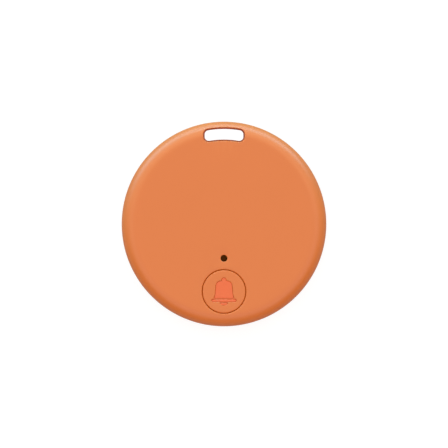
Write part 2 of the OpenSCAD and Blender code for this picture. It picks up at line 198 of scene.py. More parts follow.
# %% The battery opening and the coin groove
def notched(grow=0.0):
    """A circle with three wider stretches, where the door's lugs go in when it is turned."""
    half, third = np.radians(13), 2 * np.pi / 3
    return np.vstack([
        stretch
        for turn in lug_turns - door_swing
        for stretch in (
            arc((0, 0), notch_r + grow, turn - half, turn + half, 12),
            arc((0, 0), door_r + door_gap + grow, turn + half, turn + third - half, 44),
        )
    ])


def coin_groove(grow=0.0):
    """A bar with round ends: two half circles a bar's length apart."""
    reach, radius = 6.6, 0.9 + grow
    return np.vstack([
        arc((reach, 0), radius, -np.pi / 2, np.pi / 2, 16),
        arc((-reach, 0), radius, np.pi / 2, 3 * np.pi / 2, 16),
    ])


print("points: slot", len(slot()), "cavity", len(cavity()), "battery opening", len(notched()))

# %% [markdown]
# ## From outlines to solid shells
#
# A shell is a set of patches. A grid patch carries one outline through several heights. A map
# patch fills the flat area between outlines with triangles and is then lifted to the height
# that a formula gives, so a hole near the rounded rim bends with the rim. Where two patches
# meet they use the very same points, and welding those makes one closed skin.


# %% Grid patches
def grid(rows):
    """Rows of points (rows, count, 3) joined by quads. The last point joins the first."""
    rows = np.asarray(rows, float)
    high, wide = rows.shape[:2]
    index = np.arange(high * wide).reshape(high, wide)
    after = np.roll(index, -1, axis=1)
    quads = np.stack([index[:-1], after[:-1], after[1:], index[1:]], axis=-1)
    return rows.reshape(-1, 3), [quads.reshape(-1, 4)]


def at(outline, height):
    """Points of a flat outline, put at one height or at a height each."""
    return np.column_stack([outline, np.broadcast_to(height, len(outline))])


# %% [markdown]
# ### Map patches
#
# Blender can fill flat loops with triangles itself, by the rule named after Delaunay. It also
# fills the holes, so a test of each triangle's middle sorts out which ones to keep.


# %% Map patches
def inside(points, loop):
    """Which points a closed loop holds: a ray to the right crosses the loop an odd number of times."""
    a, b = loop, np.roll(loop, -1, axis=0)
    x, y = points[:, :1], points[:, 1:]
    crosses = (a[:, 1] > y) != (b[:, 1] > y)
    rise = np.where(a[:, 1] == b[:, 1], 1.0, b[:, 1] - a[:, 1])
    at_x = a[:, 0] + (y - a[:, 1]) / rise * (b[:, 0] - a[:, 0])
    return (crosses & (x < at_x)).sum(axis=1) % 2 == 1


def clear_of(points, loop, gap):
    """Points outside a loop and at least a gap away from its corners."""
    far = np.linalg.norm(points[:, None] - loop[None], axis=2).min(axis=1) > gap
    return points[far & ~inside(points, loop)]


def flat_map(outer, holes=(), extra=None):
    """Triangles between an outer loop and the loops of its holes, by Delaunay's rule: no corner
    lies inside the circle through the three corners of another triangle. Extra points may be
    added anywhere in between, so that a curved face gets enough corners."""
    loops = [outer, *holes]
    points = [*loops] if extra is None else [*loops, extra]
    starts = np.cumsum([0] + [len(loop) for loop in loops])
    index = [start + np.arange(len(loop)) for start, loop in zip(starts, loops)]
    edges = np.vstack([np.column_stack([ring, np.roll(ring, -1)]) for ring in index])
    found = delaunay_2d_cdt(np.vstack(points).tolist(), edges.tolist(), [], 0, 1e-7, False)
    flat, faces = np.array(found[0]), np.array(found[2])
    middles = flat[faces].mean(axis=1)
    kept = inside(middles, outer)
    for loop in holes:
        kept &= ~inside(middles, loop)
    return flat, faces[kept]


def lifted(flat_and_faces, height):
    """A map patch at one height, or at the height that a function gives for each point."""
    flat, faces = flat_and_faces
    return at(flat, height(flat) if callable(height) else height), [faces]


# %% [markdown]
# ### Turned patches and bars
#
# Most parts of the tag are turned: a profile goes round an axis. A lug or a bead is the same
# profile carried only part of the way. Moulded corners are never quite sharp, so a profile gets a
# small arc at each corner before it is turned.


# %% Turned patches and swept bars
def turned(profile, centre=(0, 0), count=96, closed=True):
    """A profile of (radius, height) points carried round the upright axis through a centre."""
    profile = np.asarray(profile, float)
    rows = np.vstack([profile, profile[:1]]) if closed else profile
    return grid([at(arc(centre, r, 0, 2 * np.pi, count)[:-1], z) for r, z in rows])


def arc_bar(profile, start, end, centre=(0, 0), steps=24):
    """A closed profile of (radius, height) points carried part of the way round, with its two
    ends filled by flat faces."""
    profile = np.asarray(profile, float)
    t = np.linspace(start, end, steps + 1)[:, None]
    x = centre[0] + np.cos(t) * profile[:, 0]
    y = centre[1] + np.sin(t) * profile[:, 0]
    z = np.broadcast_to(profile[:, 1], x.shape)
    points, faces = grid(np.stack([x, y, z], axis=-1))
    ends = np.arange(len(profile)) + np.array([[0], [steps * len(profile)]])
    return points, [*faces, ends]


def softened(corners, radii, steps=4):
    """A closed outline with each corner replaced by the arc that touches both of its sides. The
    arc's centre is radius / sin(half the corner's angle) from the corner, and the arc starts and
    ends radius / tan(half the angle) along the sides."""
    corners = np.asarray(corners, float)
    radii = np.broadcast_to(radii, len(corners))
    back = np.roll(corners, 1, axis=0) - corners
    ahead = np.roll(corners, -1, axis=0) - corners
    back /= np.linalg.norm(back, axis=1, keepdims=True)
    ahead /= np.linalg.norm(ahead, axis=1, keepdims=True)
    half = np.arccos(np.clip((back * ahead).sum(axis=1), -1, 1)) / 2
    middle = back + ahead
    middle /= np.linalg.norm(middle, axis=1, keepdims=True)
    centres = corners + middle * (radii / np.sin(half))[:, None]
    first = corners + back * (radii / np.tan(half))[:, None] - centres
    last = corners + ahead * (radii / np.tan(half))[:, None] - centres
    t = np.linspace(0, 1, steps + 1)[None, :, None]
    sweep = (np.pi - 2 * half)[:, None, None]
    blend = (np.sin((1 - t) * sweep) * first[:, None] + np.sin(t * sweep) * last[:, None]) / np.sin(sweep)
    return (centres[:, None] + blend).reshape(-1, 2)


def box_profile(r_in, r_out, z_low, z_high, radius=0.05):
    """The section of a ring with slightly softened corners."""
    return softened([(r_in, z_low), (r_out, z_low), (r_out, z_high), (r_in, z_high)], radius, 3)


# %% [markdown]
# ### From patches to a piece
#
# The patches are joined into one mesh and the points they share are welded. The open edges are
# counted, because a closed skin has none. Weighted normals keep the flat faces flat beside their
# small soft edges.

# %% Weld patches into one piece
pieces = {}


def make_piece(name, patches, body, replaced=None, smooth_below=35):
    """Patches in millimetres become one closed mesh in metres that rides on a body."""
    mesh = bpy.data.meshes.new(name)
    starts = np.cumsum([0] + [len(points) for points, _ in patches])
    faces = []
    for start, (_, sets) in zip(starts, patches):
        for same_sided in sets:
            faces += (same_sided + start).tolist()
    mesh.from_pydata((np.vstack([points for points, _ in patches]) * MM).tolist(), [], faces)
    work = bmesh.new()
    work.from_mesh(mesh)
    bmesh.ops.remove_doubles(work, verts=work.verts, dist=2e-7)
    bmesh.ops.dissolve_degenerate(work, dist=1e-8, edges=work.edges)
    bmesh.ops.recalc_face_normals(work, faces=work.faces)
    open_edges = sum(not e.is_manifold for e in work.edges)
    volume = work.calc_volume() / MM**3
    work.to_mesh(mesh)
    work.free()
    mesh.shade_smooth()
    mesh.set_sharp_from_angle(angle=np.radians(smooth_below))
    piece = bpy.data.objects.new(name, mesh)
    bpy.context.scene.collection.objects.link(piece)
    weighted = piece.modifiers.new("even_normals", "WEIGHTED_NORMAL")
    weighted.keep_sharp = True
    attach(piece, body)
    if replaced:
        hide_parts(replaced)
    pieces[name] = piece
    print(f"{name}: {len(mesh.polygons)} faces, {open_edges} open edges, {volume:.1f} mm3")
    return piece


# %% [markdown]
# ## The case halves
#
# Both halves of the case are the same idea: a shallow cup with a rounded outer edge, a wall
# round the slot, and some openings. So one function makes both. Heights in it are measured from
# the parting plane towards the outer face, and the rear half is simply turned over.


# %% Height of the outer face
def face_height(depth, edge):
    """Flat at the full depth, then a quarter circle down towards the rim: the height falls from
    depth by edge - sqrt(edge^2 - d^2), where d is how far past the flat a point lies."""

    def height(flat):
        past = np.clip(np.linalg.norm(flat, axis=1) - (body_r - edge), 0, edge)
        return depth - edge + np.sqrt(edge**2 - past**2)

    return height


def rolled_lip(outline, height, lip, steps=8):
    """The rolled edge of an opening, a quarter ellipse. At a turn t the outline has grown by
    width * (1 - sin t) and has sunk by drop * (1 - cos t) below the face."""
    width, drop = lip
    rows = []
    for t in np.linspace(0, np.pi / 2, steps + 1):
        flat = outline(width * (1 - np.sin(t)))
        rows.append(at(flat, height(flat) - drop * (1 - np.cos(t))))
    return rows


# %% [markdown]
# ### Skin, hollow and openings
#
# The outer face is a map, because openings cross it. Rings of extra points follow the rounded
# rim and lie closer together there. Nothing crosses the rest of the rim and the side, so those
# are turned. The hollow is a grid that turns softly into the ceiling, and each opening is a grid
# from its rolled lip down to the ceiling, with or without a shelf on the way.


# %% The outside of one half
def outer_face(edge, height, mouths):
    """The face out to the middle of the rounded rim, at radius body_r - edge + edge * sin 45."""
    turns = np.radians(np.arange(0, 45, 7.5))
    inner_rings = [body_r - edge - 0.3, 0.8 * body_r, 0.62 * body_r, 0.42 * body_r, 0.2 * body_r]
    rings = [body_r - edge + edge * np.sin(t) for t in turns] + inner_rings
    extra = np.vstack([circle(r, count=240 if r > 0.7 * body_r else 72)() for r in rings])
    for mouth in mouths:
        extra = clear_of(extra, mouth, gap=0.16)
    split_r = body_r - edge + edge * np.sin(np.pi / 4)
    return lifted(flat_map(circle(split_r)(), mouths, extra), height)


def side_profile(depth, edge, reveal):
    """The rest of the rounded rim, the upright side, a quarter circle at its foot and, if there
    is a reveal, the step back that shows as a shadow line."""
    turns = np.linspace(np.pi / 4, np.pi / 2, 13)
    rim = np.column_stack([body_r - edge + edge * np.sin(turns), depth - edge + edge * np.cos(turns)])
    turns = np.linspace(0, np.pi / 2, 5)
    foot = np.column_stack([
        body_r - seam_soft + seam_soft * np.cos(turns), reveal + seam_soft - seam_soft * np.sin(turns)
    ])
    step_back = [(body_r - reveal_deep, reveal), (body_r - reveal_deep, 0)] if reveal else []
    return [*rim, *foot, *step_back]


# %% The hollow and the openings of one half
def hollow(ceiling, soft):
    """Upright walls, then a quarter circle of radius soft into the ceiling."""
    rows = [at(cavity(), 0.0), at(cavity(), ceiling - soft)]
    for t in np.linspace(0, np.pi / 2, 9)[1:]:
        rows.append(at(cavity(-soft * (1 - np.cos(t))), ceiling - soft + soft * np.sin(t)))
    return grid(rows)


def opening(outline, lip, shelf, height, ceiling):
    """Patches of one opening, and the outline that it leaves in the ceiling. A shelf is a second
    outline and its height, and the opening goes on from there with that outline."""
    walls = rolled_lip(outline, height, lip)
    if shelf is None:
        return [grid([*walls, at(outline(), ceiling)])], outline()
    inner, shelf_height = shelf
    return [
        grid([*walls, at(outline(), shelf_height)]),
        lifted(flat_map(outline(), [inner()]), shelf_height),
        grid([at(inner(), shelf_height), at(inner(), ceiling)]),
    ], inner()


def blind_hole(outline, deep, ceiling):
    """The wall and the end of a hole that goes a little way into the ceiling."""
    return [
        grid([at(outline(), ceiling), at(outline(), ceiling + deep)]),
        lifted(flat_map(outline()), ceiling + deep),
    ]


# %% One half of the case
def half_case(depth, edge, lip, draft, openings, pits=(), reveal=0.0):
    """Patches of one half. The slot widens by its draft towards the face, along a cone that
    starts at the draft's height. Each opening is an outline, the width and drop of its lip, and
    its shelf or None. Each pit is an outline and how far it goes into the ceiling."""
    ceiling, soft = depth - wall, edge - wall - 0.2
    height = face_height(depth, edge)
    mouths = [slot(lip[0] + draft[0])] + [outline(own_lip[0]) for outline, own_lip, _ in openings]
    side = side_profile(depth, edge, reveal)
    slot_lip = rolled_lip(lambda grow: slot(draft[0] + grow), height, lip)
    patches = [
        outer_face(edge, height, mouths),
        turned(side, count=240, closed=False),
        lifted(flat_map(circle(side[-1][0])(), [cavity(), slot()]), 0.0),
        hollow(ceiling, soft),
        grid([*slot_lip, at(slot(), draft[1]), at(slot(), 0.0)]),
    ]
    ceiling_holes = []
    for outline, own_lip, shelf in openings:
        walls, hole = opening(outline, own_lip, shelf, height, ceiling)
        patches += walls
        ceiling_holes.append(hole)
    for outline, deep in pits:
        patches += blind_hole(outline, deep, ceiling)
        ceiling_holes.append(outline())
    patches.append(lifted(flat_map(cavity(-soft), ceiling_holes), ceiling))
    return patches


def placed(patches, sign):
    """Patches measured from the parting plane, put at seam_z + height or seam_z - height."""
    return [(np.asarray(points) * [1, 1, sign] + [0, 0, seam_z], faces) for points, faces in patches]


# %% [markdown]
# ### Front cover
#
# The visible face. Its three openings are the lanyard slot, the sound hole and the button's
# well. Inside it carries four screw posts, the seat that the buzzer is glued to, and two short
# guide walls for the button. Those are separate closed rings that bite a hair into the ceiling.

# %% Make the front cover
# How far an added ring bites into the ceiling, and how much tighter the well is than the working
# gap, so that only a fine ring shows round the button
bite, well_tight = 0.02, 0.03
well = circle(cap_r + button_gap - well_tight, (0, button_y), 144)
sound_hole = circle(sound_r, (0, sound_y), 64)
pilot_r, pilot_deep, post_r = 0.55, 0.5, 1.3
posts = [screw_ring * np.array([np.cos(t), np.sin(t)]) for t in screw_turns]
pilots = [(circle(pilot_r, tuple(post), 32), pilot_deep) for post in posts]
front_openings = [(well, (0.25, 0.28), None), (sound_hole, (0.1, 0.2), None)]
slot_lip, slot_draft = (0.09, 0.12), (0.27, 1.2)
front_half = half_case(top_z - seam_z, front_edge, slot_lip, slot_draft, front_openings, pilots)
front = placed(front_half, 1)
for post in posts:
    front.append(turned(box_profile(pilot_r, post_r, board_top, ceiling_z + bite), post, 48))

# %% Seat of the buzzer and guides of the button
plate_r, seat_z, skirt_z = plate_high[0], plate_high[2] + 0.1, plate_low[2] - 0.05
seat = [
    (plate_r - 0.5, seat_z), (plate_r + 0.1, seat_z), (plate_r + 0.1, skirt_z),
    (plate_r + 0.6, skirt_z), (plate_r + 0.6, ceiling_z + bite), (plate_r - 0.5, ceiling_z + bite),
]
front.append(turned(softened(seat, 0.05, 3)))
guide_r, guide_thick, guide_high = cap_r + button_gap, 0.45, 0.8
guide = box_profile(guide_r, guide_r + guide_thick, ceiling_z - guide_high, ceiling_z + bite)
for middle in (np.pi / 2, -np.pi / 2):
    front.append(arc_bar(guide, middle - np.pi / 6, middle + np.pi / 6, (0, button_y)))
make_piece("front_shell", front, "case", "front_cover")

# %% [markdown]
# ### Rear cover
#
# The half that lies on the table. Its opening is stepped: a wide shallow step takes the door's
# flange, and the door's lugs lock behind a notched ledge further in. A tongue with six small
# beads snaps into the front cover. The slot hardly widens in this half.

# %% Make the rear cover
flange_thick = 0.45
door_step = circle(flange_r + door_gap)
shelf = (notched, seam_z - (door_z + flange_thick))
rear_openings = [(door_step, (0.15, 0.15), shelf)]
slot_lip, slot_draft = (0.2, 0.3), (0.05, 1.0)
rear_half = half_case(seam_z, rear_edge, slot_lip, slot_draft, rear_openings, reveal=reveal_high)
rear = placed(rear_half, -1)

# %% Tongue and snap beads
tongue_r, tongue_thick, tongue_high = wall_r - 0.1, 0.8, 1.4
root_r, root_z = wall_r + 0.05, seam_z - 1
tongue_in, tongue_top = tongue_r - tongue_thick, seam_z + tongue_high
tongue = softened(
    [(tongue_in, root_z), (root_r, root_z), (root_r, seam_z - 0.01),
     (tongue_r, seam_z - 0.01), (tongue_r, tongue_top), (tongue_in, tongue_top)],
    [0.05, 0.05, 0.005, 0.005, 0.2, 0.12],
)
slot_turn = np.arcsin((slot_half + sleeve + 1) / tongue_r)
rear.append(arc_bar(tongue, np.pi / 2 + slot_turn, 5 * np.pi / 2 - slot_turn, steps=160))
bead_out = 0.22
bead = softened(
    [(tongue_r - 0.1, seam_z + 0.6), (tongue_r + bead_out, seam_z + 0.78),
     (tongue_r + bead_out, seam_z + 0.92), (tongue_r - 0.1, seam_z + 1.1)],
    0.03,
)
for middle in np.radians(np.arange(0, 360, 60)):
    rear.append(arc_bar(bead, middle - np.radians(8), middle + np.radians(8), steps=10))

# %% Collar round the battery opening and stops for the lugs
rear.append(turned(box_profile(notch_r + 0.1, notch_r + 0.7, wall - bite, wall + 1), count=160))
stop = box_profile(door_r + 0.3, notch_r + 0.12, wall - bite, door_rim_z - 0.06)
stop_turn, stop_half = np.radians(14.5), np.radians(1.5)
for lug in lug_turns:
    for middle in (lug + stop_turn, lug - door_swing - stop_turn):
        rear.append(arc_bar(stop, middle - stop_half, middle + stop_half, steps=4))
make_piece("rear_shell", rear, "case", "rear_cover")

# %% [markdown]
# ### Battery door
#
# A disc with a flange, a raised rim round the cell, three lugs, and a groove for a coin. Its
# outer face is a map with one hole, rolled over at the groove's edge, and the rest is turned.

# %% Outer face of the door
groove_deep, door_soft, groove_roll = 0.6, 0.15, 0.12
door_lip = rolled_lip(coin_groove, lambda flat: np.zeros(len(flat)), (groove_roll, groove_roll))
groove = [row * [1, 1, -1] + [0, 0, door_z] for row in door_lip]
groove.append(at(coin_groove(), door_z + groove_deep))
door = [
    lifted(flat_map(circle(flange_r - door_soft)(), [coin_groove(groove_roll)]), door_z),
    grid(groove),
    lifted(flat_map(coin_groove()), door_z + groove_deep),
]

# %% Side, rim and lugs of the door
turns = np.linspace(0, np.pi / 2, 6)
door_side = [
    *[(flange_r - door_soft * (1 - np.sin(t)), door_z + door_soft * (1 - np.cos(t))) for t in turns],
    (flange_r, door_z + 0.37), (flange_r - 0.03, door_z + 0.4), (door_r, door_z + 0.4),
    (door_r, door_rim_z - 0.1), (door_r - 0.1, door_rim_z), (door_r - 0.6, door_rim_z),
    (door_r - 0.7, door_rim_z - 0.1), (door_r - 0.7, wall), (0, wall),
]
door.append(turned(door_side, count=240, closed=False))
lug_section, lug_half = box_profile(door_r - 0.1, lug_r, wall + 0.1, wall + 0.6), np.radians(12)
for lug in lug_turns:
    door.append(arc_bar(lug_section, lug - lug_half, lug + lug_half))
make_piece("door_disc", door, "door", "battery_door")

# %% [markdown]
# ### Button cap and its bell
#
# The cap is a flat disc with a rolled edge and a shallow pocket. The bell in the pocket is a
# plain sign for "ring": a crown, a flared skirt, a brim, a knob and a clapper. Its corners are
# softened by arcs, and the outline grows along its own normals, so the pocket can have a
# rolled edge and the inlay a slightly smaller one.


# %% Outlines of the bell and its parts
# The bell's outline is 0.98 of the size that its corners are given in
symbol_size = (symbol_high[1] - symbol_low[1]) / 0.98


def sign_outline(right_half):
    """A growing outline from the corners of its right half, mirrored. Each corner is (x, y,
    radius of its arc) in parts of the sign's size. To grow, each point moves along the normal
    of the line through its two neighbours."""
    half = np.array(right_half) * symbol_size
    both = np.vstack([half, half[::-1] * [-1, 1, 1]])
    points = softened(both[:, :2], both[:, 2], 8) + [0, button_y]
    along = np.roll(points, -1, axis=0) - np.roll(points, 1, axis=0)
    normals = np.column_stack([along[:, 1], -along[:, 0]])
    normals /= np.linalg.norm(normals, axis=1, keepdims=True)
    return lambda grow=0.0: points + grow * normals


shoulders = [
    (0.320, -0.100, 0.400), (0.280, 0.380, 0.180), (0.085, 0.380, 0.024), (0.085, 0.490, 0.078)
]
bell = sign_outline([
    (0.130, -0.490, 0.094), (0.130, -0.370, 0.024), (0.440, -0.370, 0.044), (0.440, -0.280, 0.044),
    (0.372, -0.255, 0.060), *shoulders,
])
bell_body = sign_outline([(0.354, -0.243, 0.034), *shoulders])
bell_brim = sign_outline([(0.440, -0.370, 0.040), (0.440, -0.280, 0.040)])
bell_clapper = sign_outline([(0.130, -0.490, 0.055), (0.130, -0.401, 0.028)])
print("the bell has", len(bell()), "points and is", np.ptp(bell(), axis=0), "mm")

# %% Make the button cap
# The cap's rolled edge, how much wider it is than the frame's cap, and its pocket
cap_edge, cap_drop, cap_out, pocket_z = 0.25, 0.28, cap_r + 0.06, symbol_low[2]
pocket_roll, wing_soft = (0.09, 0.12), 0.05
turns = np.linspace(0, np.pi / 2, 9)
cap_side = [
    *[(cap_out - cap_edge * (1 - np.sin(t)), top_z - cap_drop * (1 - np.cos(t))) for t in turns],
    (cap_out, wing_z + wing_soft), (cap_r - 0.05, wing_z), (cap_r - 0.75, wing_z),
    (cap_r - 0.8, wing_z + wing_soft), (cap_r - 0.8, plunger_top), (0, plunger_top),
]
cap_rings = np.vstack([circle(r, (0, button_y), 96)() for r in (cap_r - 0.4, cap_r - 0.9)])
pocket_mouth = bell(pocket_roll[0])
cap_face = flat_map(circle(cap_out - cap_edge, (0, button_y), 144)(), [pocket_mouth],
                    clear_of(cap_rings, pocket_mouth, 0.1))
pocket_lip = rolled_lip(bell, lambda flat: np.full(len(flat), top_z), pocket_roll)
cap = [
    lifted(cap_face, top_z),
    grid([*pocket_lip, at(bell(), pocket_z)]),
    lifted(flat_map(bell()), pocket_z),
    turned(cap_side, (0, button_y), 144, closed=False),
]
wing, wing_half = box_profile(cap_r - 0.1, wing_r, wing_z, ceiling_z - 0.05), np.radians(40)
for middle in (0, np.pi):
    cap.append(arc_bar(wing, middle - wing_half, middle + wing_half, (0, button_y)))
make_piece("cap_disc", cap, "button", "button_cap")

# %% [markdown]
# ### The inlay
#
# The inlay is three islands with a hair of clearance to the pocket: the bell's body, its brim and
# its clapper. Their tops are pillowed at the edge, as a second shot of plastic is when it cools
# and shrinks.

# %% Make the bell inlay
clear, symbol_top, pillow = 0.02, symbol_high[2], (0.10, 0.14)
sign = []
for part in (bell_body, bell_brim, bell_clapper):
    rows = rolled_lip(lambda grow, part=part: part(-clear - grow), lambda flat: symbol_top, pillow)
    rows.append(at(part(-clear), pocket_z))
    sign += [
        lifted(flat_map(rows[0][:, :2]), symbol_top),
        grid(rows),
        lifted(flat_map(part(-clear)), pocket_z),
    ]
make_piece("bell_inlay", sign, "button", "button_symbol")

# %% [markdown]
# ### Snap dome
#
# The click comes from a thin steel dome under the plunger. It is part of a sphere: its apex
# height h over a rim of radius a gives the sphere's radius (a^2 + h^2) / 2h. A press flattens it.

# %% Make the snap dome
dome_low, dome_high = extent("switch_dome")
dome_a, dome_h, dome_t = dome_high[0], dome_high[2] - dome_low[2], 0.08
sphere_r = (dome_a**2 + dome_h**2) / (2 * dome_h)
sphere_z = dome_high[2] - sphere_r


def dome_arc(radius):
    """Points from the axis to the height of the rim, on a sphere of this radius."""
    reach = np.sqrt(radius**2 - (dome_low[2] - sphere_z) ** 2)
    t = np.linspace(0, np.arcsin(reach / radius), 17)
    return np.column_stack([radius * np.sin(t), sphere_z + radius * np.cos(t)])


dome_section = np.vstack([dome_arc(sphere_r), dome_arc(sphere_r - dome_t)[::-1]])
dome_skin = turned(dome_section, (0, button_y), 72, closed=False)
snap_dome = make_piece("snap_dome", [dome_skin], "case", "switch_dome")
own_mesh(snap_dome)

# %% [markdown]
# ## Board details
#
# Each small part on a real board is soldered at its ends. Its ends are tinned, and a little
# solder climbs them in a hollow curve. Both shapes repeat on every part, so one small shape is
# worked out once and copied to every end as one array.

# %% Where the small parts stand
# x, y, turn in degrees, length, width and height of each part with two tinned ends
capacitor_ends = [
    (-8.95, 4.4, 90), (-8.95, 6, 90), (-8.9, -4.2, 90), (-13.6, -3.6, 0), (-9.1, -6, 90),
    (3.2, 11.4, 90), (-3.2, 11.4, 90), (13.6, 3.6, 90), (9.6, 5.6, 0),
]
resistor_ends = [
    (9.2, -4.2, 90), (9.4, -6, 90), (12.6, -3.6, 0), (4.9, 11.4, 90), (-4.9, 11.4, 90), (12.6, -4.8, 0),
]
small_parts = [(*place, 1, 0.5, 0.5) for place in capacitor_ends]
small_parts += [(*place, 1, 0.5, 0.35) for place in resistor_ends]
small_parts += [(11.9, -0.6, 0, 3.2, 2.5, 1), (0, 11.4, 0, 3.2, 1.6, 0.9)]
small_parts = np.array(small_parts, float)
print(len(small_parts), "parts have tinned ends")


# %% Copy a shape to both ends of every part
def at_every_end(shape, faces):
    """Copies a shape to both ends of each part. The shape's x runs outwards from the end face
    and isn't scaled; its y and z are parts of the width and height."""
    turn = np.radians(small_parts[:, 2, None] + np.array([0, 180]))[..., None]
    length, width, height = (small_parts[:, k, None, None] for k in (3, 4, 5))
    x, y, z = shape[:, 0] + length / 2, shape[:, 1] * width, shape[:, 2] * height
    points = np.stack([
        small_parts[:, 0, None, None] + x * np.cos(turn) - y * np.sin(turn),
        small_parts[:, 1, None, None] + x * np.sin(turn) + y * np.cos(turn),
        board_top + z + 0 * turn,
    ], axis=-1)
    copies = points.shape[0] * 2
    starts = (np.arange(copies) * len(shape))[:, None, None]
    return points.reshape(-1, 3), [(same[None] + starts).reshape(-1, same.shape[1]) for same in faces]


def swept_across(profile, half):
    """A closed (x, z) profile carried from y = -half to y = half, with both ends filled."""
    profile = np.asarray(profile, float)
    rows = [np.column_stack([profile[:, 0], np.full(len(profile), y), profile[:, 1]]) for y in (-half, half)]
    points, faces = grid(rows)
    return points, [*faces, np.arange(2 * len(profile)).reshape(2, -1)]


# %% Make the solder fillets and the tinned ends
# How far the solder reaches out on the board, climbs up the end and laps into the part
foot_out, climb, lap = 0.26, 0.75, 0.02
t = np.linspace(0, np.pi / 2, 6)
hollow_curve = np.column_stack([foot_out - 0.24 * np.sin(t), climb - 0.73 * np.cos(t)])
fillet = np.vstack([[(foot_out, 0), (-lap, 0), (-lap, climb)], hollow_curve[::-1]])
tinned = softened([(-0.24, 0.0), (lap, 0.0), (lap, 1.02), (-0.24, 1.02)], 0.012, 2)
for name, profile, half in (("solder_fillets", fillet, 0.46), ("tinned_ends", tinned, 0.52)):
    make_piece(name, [at_every_end(*swept_across(profile, half))], "case")

# %% [markdown]
# The radio chip stands on a row of flat lands along each side, and each screw hole has a ring
# of bare tinned copper round it so that the screw head doesn't bite into the lacquer. Round test
# pads let the maker probe the board. They are thin, but they catch the light, so they are shapes
# and not only colour.

# %% Lands of the radio chip
chip_low, chip_high = extent("radio_chip")
chip_mid = (chip_low + chip_high)[:2] / 2
chip_half = (chip_high[0] - chip_low[0]) / 2
pitches = np.linspace(-1.75, 1.75, 8)
sides = np.radians([0, 90, 180, 270])[:, None, None]
land = softened([(-0.12, -0.12), (0.3, -0.12), (0.3, 0.12), (-0.12, 0.12)], 0.05, 2)
land_x, land_y = land[:, 0] + chip_half, pitches[:, None] + land[:, 1]
flat = np.stack([
    land_x * np.cos(sides) - land_y * np.sin(sides), land_x * np.sin(sides) + land_y * np.cos(sides)
], axis=-1)
flat = (flat + chip_mid).reshape(-1, len(land), 2)
floor_and_top = [
    np.dstack([flat, np.full(flat.shape[:2], z)]) for z in (board_top - 0.01, board_top + 0.04)
]
corners = len(land)
loop = np.arange(corners)
ahead = np.roll(loop, -1)
land_walls = np.column_stack([loop, ahead, ahead + corners, loop + corners])
land_ends = np.arange(2 * corners).reshape(2, -1)
first_points = (np.arange(len(flat)) * 2 * corners)[:, None, None]
copper = [(
    np.concatenate(floor_and_top, axis=1).reshape(-1, 3),
    [(land_walls + first_points).reshape(-1, 4), (land_ends + first_points).reshape(-1, corners)],
)]
print(len(flat), "lands round the chip")

# %% Screw rings and test pads
for post in posts:
    copper.append(turned(box_profile(0.75, 1.35, board_z - 0.035, board_z + 0.01, 0.01), post, 48))
pad_r, pad_top, pad_soft = 0.45, board_top + 0.035, 0.03
pad = [
    (0, pad_top), (pad_r - pad_soft, pad_top), (pad_r, pad_top - 0.015),
    (pad_r, board_top - 0.01), (0, board_top - 0.01),
]
for place in ((-6, -12.6), (-4.4, -13.3), (4.4, -13.3), (6, -12.6), (7.6, 8.4), (-7.2, 9.2)):
    copper.append(turned(pad, place, 32, closed=False))
make_piece("board_lands", copper, "case")

# %% [markdown]
# ## Finishes
#
# Every finish is a Principled shader with small differences over its surface. The differences
# come from a few shared effects: a grain, drawn lines, turned rings, and a slow drift of tone
# and gloss. Each is built once as a node group and placed in every material that needs it.


# %% Add and wire shader nodes
def wire(tree, node, sockets):
    """Gives inputs of a node, found by name or number, a value or the output of another node."""
    for label, value in sockets.items():
        if isinstance(value, bpy.types.NodeSocket):
            tree.links.new(value, node.inputs[label])
        else:
            node.inputs[label].default_value = value
    return node


def add_node(tree, kind, sockets=None, **settings):
    """A new shader node, with settings of its own such as its operation, and its inputs wired."""
    node = tree.nodes.new(f"ShaderNode{kind}")
    for label, value in settings.items():
        setattr(node, label, value)
    return wire(tree, node, sockets or {})


def math_node(tree, operation, first, second):
    """The output of one Math node. Each side is a number or an output."""
    return add_node(tree, "Math", {0: first, 1: second}, operation=operation).outputs[0]


def noise_node(tree, vector, scale, detail=3.0):
    """The output of one Noise node on a vector. The scale is a number or an output."""
    sockets = {"Vector": vector, "Scale": scale, "Detail": detail}
    return add_node(tree, "TexNoise", sockets).outputs[0]


# %% Start a shared effect
def effect(name, inputs, outputs):
    """An empty shader node group with named sockets, and its input and output nodes."""
    group = bpy.data.node_groups.new(name, "ShaderNodeTree")
    for in_out, sockets in (("INPUT", inputs), ("OUTPUT", outputs)):
        for label, kind in sockets:
            group.interface.new_socket(label, in_out=in_out, socket_type=f"NodeSocket{kind}")
    return group, group.nodes.new("NodeGroupInput"), group.nodes.new("NodeGroupOutput")


# %% [markdown]
# ### Three patterns
#
# A blasted mould leaves grain, which is plain noise. Rolling leaves lines, which are noise
# stretched along one direction. Turning leaves rings, which are noise read by distance from the
# axis and not by x and y. All three give only a height, and a Bump node tilts the light with it.

# %% Grain, drawn lines and turned rings
pattern_sockets = [("Vector", "Vector"), ("Fineness", "Float")]
grain, come, go = effect("moulded_grain", pattern_sockets, [("Height", "Float")])
wire(grain, go, {"Height": noise_node(grain, come.outputs["Vector"], come.outputs["Fineness"])})

drawn, come, go = effect("drawn_lines", pattern_sockets, [("Height", "Float")])
stretch = add_node(drawn, "VectorMath", {0: come.outputs["Vector"], 1: (0.03, 1, 1)}, operation="MULTIPLY")
wire(drawn, go, {"Height": noise_node(drawn, stretch.outputs[0], come.outputs["Fineness"])})

